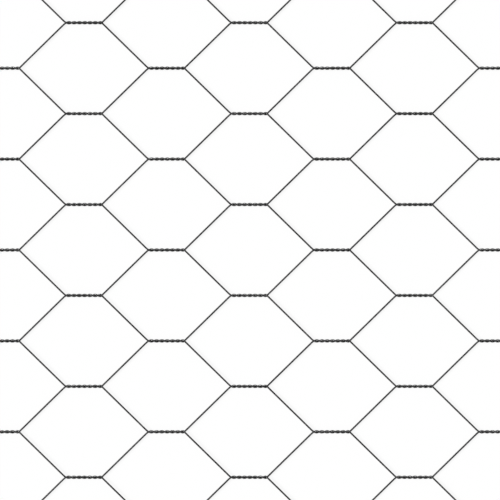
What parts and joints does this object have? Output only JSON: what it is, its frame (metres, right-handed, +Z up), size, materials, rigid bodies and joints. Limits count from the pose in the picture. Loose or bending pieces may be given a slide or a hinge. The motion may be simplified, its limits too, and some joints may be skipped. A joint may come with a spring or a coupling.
{
  "type": "hexagonal wire netting sheet",
  "caption": "Flat cut piece of hexagonal twisted wire netting (chicken wire), with a straight selvedge wire along each long edge and sheared ends.",
  "frame": {"origin": "under the middle of the piece, on the surface that it lies on", "axes": "+X along the netting's length, the way the twists lie; +Y across its width, from the front selvedge to the back one; +Z up, through the mesh"},
  "size_m": [1, 0.3528, 0.0029],
  "materials": {
    "galvanised_wire": "hot-dip galvanised wire, dulled to a dark neutral grey"
  },
  "bodies": {
    "root": {"mesh_wire_01": "galvanised_wire", "mesh_wire_02": "galvanised_wire", "mesh_wire_03": "galvanised_wire", "mesh_wire_04": "galvanised_wire", "mesh_wire_05": "galvanised_wire", "mesh_wire_06": "galvanised_wire", "mesh_wire_07": "galvanised_wire", "mesh_wire_08": "galvanised_wire", "mesh_wire_09": "galvanised_wire", "mesh_wire_10": "galvanised_wire", "mesh_wire_11": "galvanised_wire", "mesh_wire_12": "galvanised_wire", "mesh_wire_13": "galvanised_wire", "mesh_wire_14": "galvanised_wire", "selvedge_wire_front": "galvanised_wire", "selvedge_wire_back": "galvanised_wire"}
  },
  "joints": []
}
